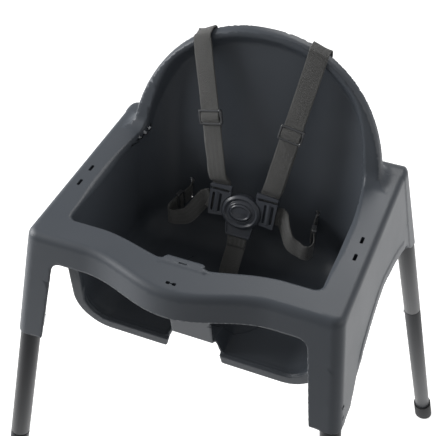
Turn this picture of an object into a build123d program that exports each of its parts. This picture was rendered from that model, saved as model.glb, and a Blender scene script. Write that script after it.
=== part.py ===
"""Moulded high chair: a one-piece seat shell on four two-part plug-in legs, with a five-point harness.

Frame: millimetres, +Z up, the sitter faces -Y, the origin is the middle of the footprint on the floor.
"""
from build123d import *
import math
import os

# ---- seat shell -----------------------------------------------------------------------------
ARM_Z = 700.0            # top plane of the arms and the front rail
BLOCK_DROP = 200.0       # height over which the outer faces are laid out
WALL = 3.5               # moulded wall
FRONT_FACE = -179.0      # front face of the rail at the arm plane
REAR_FACE = 124.0        # rear face of the skirt at the arm plane
REAR_EASE = 16.4         # slope that eases the rear ends of the arms
FRONT_HALF = 190.5       # half width at the front corners
REAR_HALF = 193.0        # half width at the rear corners
RAIL_BULGE = 28.0        # how far the rail bows forward in its middle
BULGE_HALF = 115.0       # half width of that bow
RAIL_DEPTH = 33.0        # height of the rail's front skirt
CORNER_R = 14.0
TOP_EDGE_R = 9.0
FRONT_SPLAY = (0.13, -0.19)   # outward and forward run of a front leg for each unit down
REAR_SPLAY = (0.15, 0.27)

# ---- seat tub and backrest ------------------------------------------------------------------
PAN_DROP = 168.0         # seat pan below the arm plane
PAN_Z = ARM_Z - PAN_DROP
TUB_HALF = 154.0         # half width of the tub at the arm plane
TUB_DRAFT = 0.024        # inward draft of its side walls
TUB_FRONT = -138.0       # inner edge of the front rail at the arm plane
FRONT_DRAFT = 0.054      # how the tub's open front steps back towards the pan
TUB_BACK = 89.0          # face of the backrest at the arm plane
BACK_TOP = 175.0         # the backrest is laid out to this height above the arm plane
BACK_SLOPE = 0.143       # how the backrest leans back
BACK_CORNER_R = 45.0
PAN_CORNER_R = 34.0
INNER_BULGE = 21.0       # forward bow of the rail's inner edge
RIM_Y = 61.0             # front of the backrest's rim at the arm plane
RIM_SLOPE = 0.25
RIM_DEPTH = 14.0
RIM_WIDTH = 7.0
ARCH_HALF = 170.5        # backrest outline: a superellipse about a centre below the arm plane
ARCH_CENTRE = -32.2
ARCH_HEIGHT = 186.0
ARCH_POWER = 2.13
LIP_WIDTH = 13.0         # flange round the two leg openings
POST_HALF = 28.0         # half width of the crotch post
POST_TOP_Y = -158.0
POST_RUN = 29.0          # how far the post leans back from the arm plane to the pan
RISE = 24.0              # raised middle of the pan's front edge
RISE_HALF = 32.0         # half width of the hollow under it
RISE_BACK = -60.0        # where the rise has run out
# y of points along a side's lower edge and their drop below the arm plane
SIDE_ARCH = ((-163, 149), (-139, 127), (-82, 100), (-27, 88), (30, 97), (100, 122))
SKIRT_EDGE = 150.8       # inner edge of the panels beside the legs at the arm plane
SKIRT_DRAFT = 0.147      # outward run of that edge for each unit down
TRAY_SLOT_X = 174.7
TRAY_SLOT_Y = (-44.6, -74.8)
TRAY_SLOT = (4.0, 11.5)       # width and length of an arm's slot
RAIL_SLOT_Y = -191.0
RAIL_SLOT = (12.0, 4.0)
POCKET_DEPTH = 10.0      # the tray's slots are blind pockets
POCKET_WALL = 2.0
KEYHOLE = (90.7, ARM_Z - 84.4)   # eye of the slot that a waist strap comes through
KEYHOLE_R = 3.5
KEYHOLE_WIDTH = 4.0
KEYHOLE_DROP = 30.0
CROTCH_SLOT_Y = -22.0

# ---- legs -----------------------------------------------------------------------------------
FRONT_LEG = (175.6, -163.7)   # leg axis where it meets the arm plane
REAR_LEG = (178.6, 108.4)
FRONT_SOCKET = 149.0          # how far below the arm plane the sockets end
REAR_SOCKET = 165.0           # the rear ones are cut square, this far along the leg
SOCKET_R = 15.3               # outer radius of the sleeve round a leg tube
TUBE_OD = 25.0
TUBE_WALL = 2.0
SOCKET_FIT = 0.1
LEG_TOP = 36.0                # depth of the tube's top end below the arm plane
JOINT_DROP = 334.7            # where the upper and the lower leg meet
JOINT_GAP = 0.8
SPIGOT_FIT = 0.05
SPIGOT_LENGTH = 60.0
SPIGOT_WALL = 2.0
FOOT_OD = 30.0
FOOT_HEIGHT = 34.0
FOOT_SOLE = 6.0
SCREW_DROP = 128.0            # screws that hold the tubes in the sockets
BUTTON_BELOW = 13.0           # snap button below the joint
BUTTON_D = 6.6
BUTTON_PROUD = 2.6
BUTTON_TRAVEL = 4.7
BUTTON_HEAD = 7.3             # outer face of the button's flange from the leg's axis

# ---- harness --------------------------------------------------------------------------------
WEB = 25.0                    # webbing width
WEB_T = 1.5                   # webbing thickness
BUCKLE_AT = (0.0, 30.5, ARM_Z - 75.7)
BUCKLE_LEAN = 22.0
RING = (26.5, 23.0)           # half axes of the buckle's round body
BUTTON_AXES = (15.0, 11.0)
PRESS = 2.0                   # travel of the buckle's button
SLOT_TOP = 30.0               # height of the tongues' top edge above the buckle's middle
RIM_STRAP_X = 74.0
RIM_STRAP_SHIFT = -6.5        # both shoulder straps lie a little to the left on the rim
TONGUE_STRAP_X = 35.0
ADJUSTER_AT = 95.0            # shoulder adjuster above the tongue, along the strap
ADJUSTER_TRAVEL = (-30.0, 45.0)
ANCHOR_DROP = 48.0            # end of a shoulder strap below the top of the rim
WAIST_Z = KEYHOLE[1] - KEYHOLE_DROP / 2 - 1      # middle of a waist strap where it leaves the keyhole
WAIST_RUN = (10.0, -36.0)                        # its run towards the front, outward and forward
WAIST_FOLD_R = 4.0
WAIST_START_Y = 66.0


def leg_plane(side, foot, splay):
    """Frame on a leg's axis at the arm plane, local Z running down the leg and X pointing inward."""
    run = Vector(side * splay[0], splay[1], -1).normalized()
    inward = Vector(-side, 0, 0)
    inward = (inward - run * inward.dot(run)).normalized()
    return Plane(origin=(side * foot[0], foot[1], ARM_Z), x_dir=inward, z_dir=run)


def stretch(splay):
    """Length along a leg for each unit of drop."""
    return math.sqrt(1 + splay[0] ** 2 + splay[1] ** 2)


def bell(x):
    """Bow of the front rail: 1 in the middle, 0 past BULGE_HALF."""
    return 0.5 + 0.5 * math.cos(math.pi * min(abs(x) / BULGE_HALF, 1))


def plan_face(z, half_front, half_rear, front, rear, bow):
    """Horizontal outline with straight sides and a bowed front edge."""
    steps = [-1, -0.5, 0, 0.5, 1]
    bow_points = [(BULGE_HALF * s, front - bow * bell(BULGE_HALF * s), z) for s in steps]
    front_bow = Spline(*bow_points, tangents=[(1, 0, 0), (1, 0, 0)])
    left = Polyline(bow_points[0], (-half_front, front, z), (-half_rear, rear, z), (half_rear, rear, z),
                    (half_front, front, z), bow_points[-1])
    return make_face([front_bow, *left.edges()])


def block(inset, top):
    """The shell's outer body as a solid, its faces drawn in by inset."""
    faces = []
    for z in (top, ARM_Z - BLOCK_DROP):
        d = ARM_Z - z
        faces.append(plan_face(z, FRONT_HALF + FRONT_SPLAY[0] * d - inset, REAR_HALF + REAR_SPLAY[0] * d - inset,
                               FRONT_FACE + FRONT_SPLAY[1] * d + inset, REAR_FACE + REAR_SPLAY[1] * d - inset,
                               RAIL_BULGE))
    return loft(faces, ruled=True)


def outer_block():
    body = block(0, ARM_Z)
    upright = [e for e in body.edges() if abs(e.tangent_at(0.5).Z) > 0.9]
    uprights = [e for e in upright if abs(e.center().X) > BULGE_HALF + 20]
    body = fillet(uprights, CORNER_R)
    rim = [e for e in body.edges() if abs(e.center().Z - ARM_Z) < 0.01]
    return fillet(rim, TOP_EDGE_R)


def tub_face(z, grow):
    """Horizontal outline of the tub: open front, big rounded rear corners."""
    rise = z - ARM_Z
    half = TUB_HALF + TUB_DRAFT * rise + grow
    back = TUB_BACK + BACK_SLOPE * rise + grow
    front = TUB_FRONT - FRONT_DRAFT * rise
    radius = BACK_CORNER_R + grow
    corners = Polyline((-half, front, z), (-half, back, z), (half, back, z), (half, front, z))
    rounded = fillet(corners.vertices().sort_by(Axis.Y)[-2:], radius)
    return make_face([*rounded.edges(), Line((half, front, z), (-half, front, z))])


def tub_solid(grow):
    """The tub's inside (grow 0) or its outside (grow WALL), carried up behind the backrest."""
    floor = PAN_Z - grow
    body = loft([tub_face(floor, grow), tub_face(ARM_Z + BACK_TOP, grow)], ruled=True)
    front = TUB_FRONT - FRONT_DRAFT * (floor - ARM_Z)
    seam = [e for e in body.edges() if abs(e.center().Z - floor) < 0.01 and e.center().Y > front + 1]
    return fillet(seam, PAN_CORNER_R + grow)


def arch_face(inset):
    """Backrest outline in the plane y = 0, drawn in by inset, closed below the arms."""
    base = ARM_Z + ARCH_CENTRE
    points = []
    for i in range(17):
        a = math.pi * i / 16
        c = math.cos(a)
        s = math.sin(a)
        x = math.copysign(abs(c) ** (2 / ARCH_POWER), c) * (ARCH_HALF - inset)
        points.append((x, 0, base + abs(s) ** (2 / ARCH_POWER) * (ARCH_HEIGHT - inset)))
    curve = Spline(*points, tangents=[(0, 0, 1), (0, 0, -1)])
    return make_face([curve, Line(points[-1], points[0])])


def rim_prism(inset, start, depth):
    """The arch outline carried back from the rim's plane by depth, both measured along Y."""
    prism = extrude(arch_face(inset), amount=400, dir=(0, 1, 0))
    prism = prism.moved(Location((0, -100, 0)))
    tilt = math.degrees(math.atan(RIM_SLOPE))
    front = Plane(origin=(0, RIM_Y + start, ARM_Z), x_dir=(1, 0, 0), z_dir=Vector(0, 1, -RIM_SLOPE).normalized())
    thickness = depth * math.cos(math.radians(tilt))
    slab = front.location * Box(600, 900, thickness, align=(Align.CENTER, Align.CENTER, Align.MIN))
    return prism & slab


def side_keep(side):
    """The part of a side skirt that stays: an arch is cut out of its lower edge between the sockets."""
    front = FRONT_FACE + 12
    rear = REAR_FACE - 12
    foot = ARM_Z - FRONT_SOCKET
    points = [(y, ARM_Z - drop) for y, drop in SIDE_ARCH]
    arch = Spline(*points, tangents=[(0.4, 1), (1, -0.4)])
    heel = points[-1][1]
    outline = [(front, ARM_Z + 1), (front + FRONT_SPLAY[1] * FRONT_SOCKET, foot), points[0]]
    close = Polyline(points[-1], (rear + REAR_SPLAY[1] * (ARM_Z - heel), heel), (rear, ARM_Z + 1), *outline)
    yz = Plane(origin=(side * 150, 0, 0), x_dir=(0, 1, 0), z_dir=(1, 0, 0))
    face = make_face([arch, *close.edges()])
    return extrude(yz.location * face, amount=side * 90) & beside_legs(side)


def beside_legs(side):
    """Outboard region with an inner edge that splays like the legs."""
    foot = SKIRT_EDGE + SKIRT_DRAFT * BLOCK_DROP
    low = ARM_Z - BLOCK_DROP
    outline = Polyline((side * SKIRT_EDGE, ARM_Z + 1), (side * 260, ARM_Z + 1), (side * 260, low), (side * foot, low),
                       close=True)
    xz = Plane(origin=(0, 300, 0), x_dir=(1, 0, 0), z_dir=(0, -1, 0))
    return extrude(xz.location * make_face(outline.edges()), amount=600)


def before_rear_slope(inset):
    """Everything in front of the slope that eases the rear ends of the arms, drawn in by inset."""
    top = Vector(0, REAR_FACE - REAR_EASE, ARM_Z)
    foot = Vector(0, REAR_FACE + REAR_SPLAY[1] * REAR_EASE, ARM_Z - REAR_EASE)
    run = (foot - top).normalized()
    outward = Vector(0, -run.Z, run.Y)
    high = top - outward * inset - run * 40
    low = top - outward * inset + run * 400
    outline = Polyline((high.Y, high.Z), (low.Y, low.Z), (-300, low.Z), (-300, high.Z), close=True)
    yz = Plane(origin=(-300, 0, 0), x_dir=(0, 1, 0), z_dir=(1, 0, 0))
    return extrude(yz.location * make_face(outline.edges()), amount=600)


def sleeve(side, leg, splay, end):
    """Round sleeve that carries a leg tube, down to a station along the leg."""
    tube = Cylinder(SOCKET_R, end, align=(Align.CENTER, Align.CENTER, Align.MIN))
    below_arm = Pos(0, 0, ARM_Z - 4 - 200) * Box(600, 600, 400)
    return leg_plane(side, leg, splay).location * tube & below_arm


def bore(side, leg, splay, depth, radius, start):
    frame = leg_plane(side, leg, splay)
    hole = Cylinder(radius, depth, align=(Align.CENTER, Align.CENTER, Align.MIN))
    return frame.location * Pos(0, 0, start) * hole


def leg_lip():
    """Flange round the open front of the tub."""
    overlap = 1.0
    front = TUB_FRONT + FRONT_DRAFT * PAN_DROP + overlap
    half = TUB_HALF - TUB_DRAFT * PAN_DROP
    top = ARM_Z - 22
    outer = plate_outline(half + WALL + LIP_WIDTH, PAN_Z - WALL - LIP_WIDTH, top, PAN_CORNER_R + LIP_WIDTH)
    inner = plate_outline(half, PAN_Z, top + 5, PAN_CORNER_R)
    xz = Plane(origin=(0, front, 0), x_dir=(1, 0, 0), z_dir=(0, -1, 0))
    ring = extrude(xz.location * outer, amount=WALL + overlap) - extrude(xz.location * inner, amount=WALL + overlap)
    return ring


def plate_outline(half, bottom, top, radius):
    """Upright outline with round lower corners, drawn in X and Z."""
    path = Polyline((-half, top), (-half, bottom), (half, bottom), (half, top))
    rounded = fillet(path.vertices().sort_by(Axis.Y)[:2], radius)
    return make_face([*rounded.edges(), Line((half, top), (-half, top))])


def crotch_post():
    """Post between the legs, from the rail's inner edge down to the raised middle of the pan."""
    low = PAN_Z + RISE - WALL
    foot = post_face(low)
    outline = Polyline((POST_TOP_Y, ARM_Z - 1), (POST_TOP_Y - WALL, ARM_Z - 1), (foot - WALL, low), (foot, low),
                       close=True)
    yz = Plane(origin=(-POST_HALF, 0, 0), x_dir=(0, 1, 0), z_dir=(1, 0, 0))
    return extrude(yz.location * make_face(outline.edges()), amount=2 * POST_HALF)


def post_face(z):
    """Rear face of the crotch post at a height."""
    return POST_TOP_Y + POST_RUN * (ARM_Z - z) / PAN_DROP


def rise(half, drop, foot):
    """Wedge under the raised middle of the pan, its top drawn down by drop and its foot at a height."""
    front = post_face(PAN_Z + RISE - WALL) - WALL
    outline = Polyline((front, PAN_Z + RISE - drop), (RISE_BACK, PAN_Z - drop), (RISE_BACK, foot), (front, foot),
                       close=True)
    yz = Plane(origin=(-half, 0, 0), x_dir=(0, 1, 0), z_dir=(1, 0, 0))
    return extrude(yz.location * make_face(outline.edges()), amount=2 * half)


def tray_pockets(wall, depth):
    """Blocks for the pockets that take the tray's hooks: two in each arm and one in the rail."""
    spots = [(side * TRAY_SLOT_X, y, TRAY_SLOT) for side in (-1, 1) for y in TRAY_SLOT_Y]
    spots.append((0, RAIL_SLOT_Y, RAIL_SLOT))
    blocks = []
    for x, y, size in spots:
        block_size = (size[0] + 2 * wall, size[1] + 2 * wall, depth + wall)
        blocks.append(Pos(x, y, ARM_Z) * Box(*block_size, align=(Align.CENTER, Align.CENTER, Align.MAX)))
    return blocks


def strap_slots():
    """Keyholes in the backrest for the waist straps and a slot in the pan for the crotch strap."""
    cuts = []
    for side in (-1, 1):
        x, z = KEYHOLE
        eye = Rot(90, 0, 0) * Cylinder(KEYHOLE_R, 40)
        cuts.append(Pos(side * x, 76, z) * eye)
        cuts.append(Pos(side * x, 76, z - KEYHOLE_DROP / 2) * Box(KEYHOLE_WIDTH, 40, KEYHOLE_DROP))
    cuts.append(Pos(0, CROTCH_SLOT_Y, PAN_Z) * Box(WEB + 5, 6, 20))
    return cuts


def seat_shell():
    body = outer_block() & before_rear_slope(0)
    skin = body - (block(WALL, ARM_Z - WALL) & before_rear_slope(WALL))
    keep = Pos(0, 0, ARM_Z - RAIL_DEPTH / 2) * Box(600, 600, RAIL_DEPTH)
    keep += side_keep(-1)
    keep += side_keep(1)
    shell = skin & keep
    level = Pos(0, 0, ARM_Z - FRONT_SOCKET / 2) * Box(600, 600, FRONT_SOCKET)
    for side in (-1, 1):
        shell += sleeve(side, FRONT_LEG, FRONT_SPLAY, BLOCK_DROP) & level & body
        shell += sleeve(side, REAR_LEG, REAR_SPLAY, REAR_SOCKET) & body
    inside = tub_solid(0)
    outside = tub_solid(WALL)
    below = Pos(0, 0, ARM_Z - 200 - 1) * Box(600, 600, 400)
    rim = rim_prism(0, 0, RIM_DEPTH)
    behind = rim_prism(RIM_WIDTH - WALL, 0, RIM_DEPTH + 60)
    shell += outside & below
    shell += rim
    shell += outside & behind
    mouth = rim_prism(RIM_WIDTH, -40, RIM_DEPTH + 80)
    hollow_front = inside & (Pos(0, 0, ARM_Z - 200 + 5) * Box(600, 600, 400) + mouth)
    shell -= hollow_front
    hollow_back = rim_prism(WALL, WALL + 1, RIM_DEPTH + 40) - outside
    hollow_back -= Pos(0, 0, ARM_Z - 200) * Box(600, 600, 400)
    shell -= hollow_back
    mouth_bow = plan_face(ARM_Z - 60, TUB_HALF - 8, TUB_HALF - 8, TUB_FRONT - 1, TUB_FRONT + 40, INNER_BULGE - 1)
    shell -= extrude(mouth_bow, amount=80, dir=(0, 0, 1))
    shell += crotch_post()
    shell += leg_lip()
    shell += rise(RISE_HALF + WALL, 0, PAN_Z - WALL)
    shell -= rise(RISE_HALF, WALL, PAN_Z - WALL - LIP_WIDTH - 2)
    for pocket in tray_pockets(POCKET_WALL, POCKET_DEPTH):
        shell += pocket
    for side in (-1, 1):
        for leg, splay, depth in ((FRONT_LEG, FRONT_SPLAY, FRONT_SOCKET), (REAR_LEG, REAR_SPLAY, REAR_SOCKET)):
            start = (LEG_TOP - 4) * stretch(splay)
            shell -= bore(side, leg, splay, depth * stretch(splay) + 40, TUBE_OD / 2 + SOCKET_FIT, start)
    for cut in tray_pockets(0, POCKET_DEPTH) + strap_slots():
        shell -= cut
    return shell


# ---- legs -----------------------------------------------------------------------------------
def ring_station(splay):
    """Distance along a leg from the arm plane to the joint between its two halves."""
    return JOINT_DROP * stretch(splay)


def button_hole(splay, radius):
    """Hole across the inner wall of a leg tube for the snap button, in the leg's frame."""
    hole = Rot(0, 90, 0) * Cylinder(radius, 20, align=(Align.CENTER, Align.CENTER, Align.MIN))
    return Pos(2, 0, ring_station(splay) + BUTTON_BELOW) * hole


def pipe(outer, inner, start, end):
    """Tube along local Z between two stations."""
    low = (Align.CENTER, Align.CENTER, Align.MIN)
    tube = Cylinder(outer, end - start, align=low) - Cylinder(inner, end - start, align=low)
    return Pos(0, 0, start) * tube


def upper_leg(side, leg, splay):
    """Tube that plugs into the shell's socket, with a spigot for the lower leg."""
    ring = ring_station(splay)
    lower_bore = TUBE_OD / 2 - TUBE_WALL
    spigot = lower_bore - SPIGOT_FIT
    tube = pipe(TUBE_OD / 2, TUBE_OD / 2 - TUBE_WALL, LEG_TOP * stretch(splay), ring)
    shoulder = pipe(TUBE_OD / 2 - TUBE_WALL, spigot - SPIGOT_WALL, ring - 8, ring)
    stub = pipe(spigot, spigot - SPIGOT_WALL, ring - 8, ring + SPIGOT_LENGTH)
    body = tube + shoulder + stub - button_hole(splay, BUTTON_D / 2 + 0.15)
    return leg_plane(side, leg, splay).location * body


def lower_end(splay):
    """Station of the lower tube's end, inside the foot cap."""
    return (ARM_Z - FOOT_SOLE) * stretch(splay) - TUBE_OD / 2 * math.hypot(*splay)


def lower_leg(side, leg, splay):
    """Lower tube with the hole that the snap button locks into."""
    body = pipe(TUBE_OD / 2, TUBE_OD / 2 - TUBE_WALL, ring_station(splay) + JOINT_GAP, lower_end(splay))
    body -= button_hole(splay, BUTTON_D / 2 + 0.3)
    return leg_plane(side, leg, splay).location * body


def foot_cap(side, leg, splay):
    """Cap over the end of the leg, cut level with the floor."""
    end = lower_end(splay)
    low = (Align.CENTER, Align.CENTER, Align.MIN)
    cap = Pos(0, 0, end - FOOT_HEIGHT) * Cylinder(FOOT_OD / 2, FOOT_HEIGHT + 40, align=low)
    cap -= Pos(0, 0, end - FOOT_HEIGHT - 1) * Cylinder(TUBE_OD / 2 + 0.02, FOOT_HEIGHT + 1, align=low)
    cap = leg_plane(side, leg, splay).location * cap
    return cap & (Pos(0, 0, 60) * Box(900, 900, 120))


def snap_button(side, leg, splay):
    """Domed locking button that stands out of the lower leg's hole."""
    inner = BUTTON_HEAD - 1.0
    reach = TUBE_OD / 2 + BUTTON_PROUD - inner
    low = (Align.CENTER, Align.CENTER, Align.MIN)
    pin = Cylinder(BUTTON_D / 2, reach, align=low)
    pin = fillet(pin.edges().sort_by(Axis.Z)[-1], BUTTON_PROUD - 0.3)
    head = Cylinder(BUTTON_D / 2 + 0.6, 1.0, align=low)
    body = Pos(inner, 0, ring_station(splay) + BUTTON_BELOW) * Rot(0, 90, 0) * (pin + head)
    return leg_plane(side, leg, splay).location * body


def snap_spring(side, leg, splay):
    """V-shaped leaf inside the spigot that pushes the button out."""
    bore_r = TUBE_OD / 2 - TUBE_WALL - SPIGOT_FIT - SPIGOT_WALL
    station = ring_station(splay) + BUTTON_BELOW
    near = BUTTON_HEAD - 1.1
    far = -math.sqrt(bore_r ** 2 - 3.5 ** 2) + 0.1
    t = 0.6
    path = Polyline((near, station + 8), (near, station - 14), (far, station - 22), (far, station + 10),
                    (far + t, station + 10), (far + t, station - 21), (near - t, station - 13.5),
                    (near - t, station + 8), close=True)
    frame = Plane.XZ.offset(-3.5)
    leaf = extrude(frame.location * make_face(path.edges()), amount=7)
    return leg_plane(side, leg, splay).location * leaf


def socket_screws():
    """One self-tapping screw through the inner side of each socket into the leg tube."""
    screws = []
    for side in (-1, 1):
        for leg, splay in ((FRONT_LEG, FRONT_SPLAY), (REAR_LEG, REAR_SPLAY)):
            station = SCREW_DROP * stretch(splay)
            head = Cylinder(3.6, 2.0, align=(Align.CENTER, Align.CENTER, Align.MIN))
            screw = Pos(SOCKET_R + 0.02, 0, station) * Rot(0, 90, 0) * head
            screws.append(leg_plane(side, leg, splay).location * screw)
    return Compound(children=screws)


# ---- buckle ---------------------------------------------------------------------------------
def buckle_plane():
    """Frame at the buckle's middle: X to the right, Y up its face and Z out of its face."""
    lean = math.radians(BUCKLE_LEAN)
    return Plane(origin=BUCKLE_AT, x_dir=(1, 0, 0), z_dir=(0, -math.cos(lean), math.sin(lean)))


def on_buckle(shape):
    return buckle_plane().location * shape


def slab(face, bottom, top):
    """A flat outline given thickness between two heights."""
    return Pos(0, 0, bottom) * extrude(face, amount=top - bottom)


def buckle_outline(grow):
    """Oval body with the strap tab below it."""
    oval = Ellipse(RING[0] + grow, RING[1] + grow)
    tab = Polyline((-20 - grow, -12), (-17 - grow, -35 - grow), (17 + grow, -35 - grow), (20 + grow, -12),
                   close=True)
    return oval + make_face(tab.edges())


def strap_pocket():
    """Pocket at the foot of the buckle that takes the end of the crotch strap."""
    return Pos(0, -31, -0.8) * Box(WEB + 2.5, 12, 3.5)


def buckle_front():
    """Front cover: a shallow oval dish with the button's opening and a raised ring round it."""
    shell = slab(buckle_outline(0), -2.5, 6)
    shell -= slab(Ellipse(RING[0] - 2.5, RING[1] - 2.5), -3, 3.5)
    shell -= slab(Ellipse(BUTTON_AXES[0] + 0.4, BUTTON_AXES[1] + 0.4), 0, 7)
    groove = Ellipse(RING[0] - 4, RING[1] - 4) - Ellipse(RING[0] - 6, RING[1] - 6)
    shell -= slab(groove, 5.2, 7)
    for side in (-1, 1):
        shell -= Pos(side * 24, 4, 0) * Box(16, 30, 3.6)
    shell -= strap_pocket()
    return on_buckle(shell)


def buckle_back():
    """Base plate, screwed to the front cover."""
    plate = slab(buckle_outline(0), -6, -2.55)
    post = Pos(0, 0, -2.6) * Cylinder(3, 1.6, align=(Align.CENTER, Align.CENTER, Align.MIN))
    return on_buckle(plate + post)


def buckle_button():
    """Oval release button with a shallow dished face and a flange that keeps it in."""
    cap = slab(Ellipse(*BUTTON_AXES), 0.8, 7.2)
    cap = fillet(cap.faces().sort_by(Axis.Z)[-1].edges(), 1.0)
    cap -= slab(Ellipse(BUTTON_AXES[0] - 4, BUTTON_AXES[1] - 4), 6.6, 8)
    flange = slab(Ellipse(BUTTON_AXES[0] + 2, BUTTON_AXES[1] + 2), 1.9, 3.3)
    well = Cylinder(5, 5, align=(Align.CENTER, Align.CENTER, Align.MIN))
    return on_buckle(cap + flange - well)


def buckle_spring():
    """Coil spring under the release button."""
    coil = Helix(pitch=1.4, height=5.4, radius=3.9)
    profile = Plane(origin=coil @ 0, z_dir=coil % 0) * Circle(0.35)
    spring = sweep(profile, path=coil, is_frenet=True)
    return on_buckle(Pos(0, 0, -2.1) * spring)


def buckle_screws():
    """Two screws that hold the base plate to the front cover."""
    screws = []
    for x in (-11, 11):
        head = Pos(x, -19.5, -7.2) * Cylinder(2.6, 1.15, align=(Align.CENTER, Align.CENTER, Align.MIN))
        screws.append(on_buckle(head))
    return Compound(children=screws)


def tongue(side):
    """Wing that plugs into the buckle's side, with a slot for each of its two straps."""
    wing = Polyline((side * 27.5, SLOT_TOP - 4), (side * 17, SLOT_TOP + 2), (side * 19, SLOT_TOP + 3),
                    (side * 47, SLOT_TOP - 1), (side * 48, SLOT_TOP - 4), (side * 46, -11),
                    (side * 28, -13), close=True)
    plate = make_face(wing.edges()) - Ellipse(RING[0] + 0.6, RING[1] + 0.6)
    body = slab(plate, -2, 2)
    tab = Pos(side * 23.5, 4, 0) * Box(10, 26, 3.0)
    cut_round = slab(Ellipse(RING[0] + 0.6, RING[1] + 0.6), -4, 4)
    body += tab & (cut_round + Pos(side * 30, 4, 0) * Box(8, 26, 3.0))
    body -= Pos(side * 33, SLOT_TOP - 4, 0) * Box(26.5, 4.4, 10)
    for x in (31, 41):
        body -= Pos(side * x, 4, 0) * Box(4.2, 27, 10)
    return on_buckle(body)


# ---- webbing --------------------------------------------------------------------------------
def webbing(stations, width):
    """Flat webbing through stations, each a centre, a direction along the strap and one across it."""
    faces = []
    for centre, along, across in stations:
        along = Vector(along).normalized()
        across = Vector(across)
        across = (across - along * across.dot(along)).normalized()
        frame = Plane(origin=centre, x_dir=across, z_dir=along)
        faces.append(frame.location * Rectangle(width, WEB_T))
    return loft(faces, ruled=True)


def arch_top(x):
    """Height of the backrest's outline at a distance x from the middle."""
    ratio = 1 - abs(x / ARCH_HALF) ** ARCH_POWER
    return ARM_Z + ARCH_CENTRE + ARCH_HEIGHT * ratio ** (1 / ARCH_POWER)


BACK_UP = Vector(0, BACK_SLOPE, 1).normalized()


def behind_back(x, drop):
    """Middle of a shoulder strap behind the backrest, a distance below the rim's top."""
    z = arch_top(x) - drop
    return Vector(x, TUB_BACK + BACK_SLOPE * (z - ARM_Z) + WALL * 1.05 + WEB_T / 2 + 0.5, z)


def rim_strap_x(side):
    return side * RIM_STRAP_X + RIM_STRAP_SHIFT


def shoulder_frame(side):
    """Frame of a shoulder strap: origin on the tongue, X up along the strap, Y towards the front."""
    tongue_at = buckle_plane().from_local_coords(Vector(side * TONGUE_STRAP_X, SLOT_TOP - 3, 4.2))
    x = rim_strap_x(side)
    top = arch_top(x)
    rim_at = Vector(x, RIM_Y + RIM_SLOPE * (top - ARM_Z) - 3, top - 2)
    run = (rim_at - tongue_at).normalized()
    width = run.cross(Vector(0, -1, 0)).normalized()
    return Plane(origin=tongue_at, x_dir=run, z_dir=width), (rim_at - tongue_at).length


def shoulder_strap(side):
    """Strap from its anchor behind the backrest, over the rim, through the adjuster to the tongue."""
    frame, reach = shoulder_frame(side)
    run = frame.x_dir
    straight = ADJUSTER_AT + ADJUSTER_TRAVEL[1] + 14
    x = rim_strap_x(side)
    step = 1.0
    tilt = Vector(2 * step, 0, arch_top(x + step) - arch_top(x - step)).normalized()
    top = Vector(x, RIM_Y + RIM_SLOPE * (arch_top(x) - ARM_Z), arch_top(x))
    stations = [(frame.origin + run * 2, run, frame.z_dir), (frame.origin + run * straight, run, frame.z_dir),
                (top + Vector(0, -3, -1.5), run, tilt), (top + Vector(0, -1.5, 2.2), (0, 1, 1), tilt),
                (top + Vector(0, 7, 4.4), (0, 1, 0.1), tilt), (top + Vector(0, RIM_DEPTH + 4.5, 3.2), (0, 1, -1), tilt),
                (behind_back(x, 6), BACK_UP * -1, (1, 0, 0)), (behind_back(x, ANCHOR_DROP), BACK_UP * -1, (1, 0, 0))]
    return webbing(stations, WEB)


def slide_buckle(width, height):
    """Three-bar slide: outer bars in front of the webbing and a middle bar behind it."""
    half_web = WEB_T / 2 + 0.35
    bar = 2.4
    body = Pos(0, -half_web - bar / 2, 0) * Box(bar + 1, bar, width)
    for x in (-height / 2 + bar / 2, height / 2 - bar / 2):
        body += Pos(x, half_web + bar / 2, 0) * Box(bar, bar, width)
    for z in (-width / 2 + bar / 2, width / 2 - bar / 2):
        body += Pos(0, 0, z) * Box(height, 2 * half_web + 2 * bar, bar)
    return body


def shoulder_adjuster(side):
    frame, reach = shoulder_frame(side)
    return frame.location * Pos(ADJUSTER_AT, 0, 0) * slide_buckle(WEB + 6.5, 20)


def waist_strap(side):
    """Strap from the keyhole, through its adjuster, in a slack fold and back to the tongue."""
    x = KEYHOLE[0]
    up = (0, 0, 1)
    start = Vector(side * x, WAIST_START_Y, WAIST_Z)
    run = Vector(side * WAIST_RUN[0], WAIST_RUN[1], 0)
    stations = [(start + Vector(0, 15.4, 0), (0, -1, 0), up), (start, (0, -1, 0), up),
                (start + run * 0.05, run, up), (start + run, run, up)]
    heading = math.degrees(math.atan2(WAIST_RUN[1], WAIST_RUN[0]))
    centre = start + run + Vector(-side, 0, 0) * WAIST_FOLD_R
    for turn in (45, 90, 135):
        a = math.radians(-turn)
        spot = centre + Vector(side * math.cos(a), math.sin(a), 0) * WAIST_FOLD_R
        a = math.radians(heading - turn)
        stations.append((spot, (side * math.cos(a), math.sin(a), 0), up))
    plane = buckle_plane()
    end = plane.from_local_coords(Vector(side * 56, 4, 0))
    face_up = plane.y_dir
    last = stations[-1][0]
    path = end - last
    stations.append((last + path * 0.25 + Vector(0, -1.5, 0), path, (0, 0.1, 1)))
    stations.append((end, path, face_up))
    return webbing(stations, WEB - 1)


def waist_adjuster(side):
    run = Vector(side * WAIST_RUN[0], WAIST_RUN[1], 0)
    middle = Vector(side * KEYHOLE[0], WAIST_START_Y, WAIST_Z) + run * 0.5
    frame = Plane(origin=middle, x_dir=run, z_dir=(0, 0, 1))
    return frame.location * slide_buckle(WEB + 5.5, 14)


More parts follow.
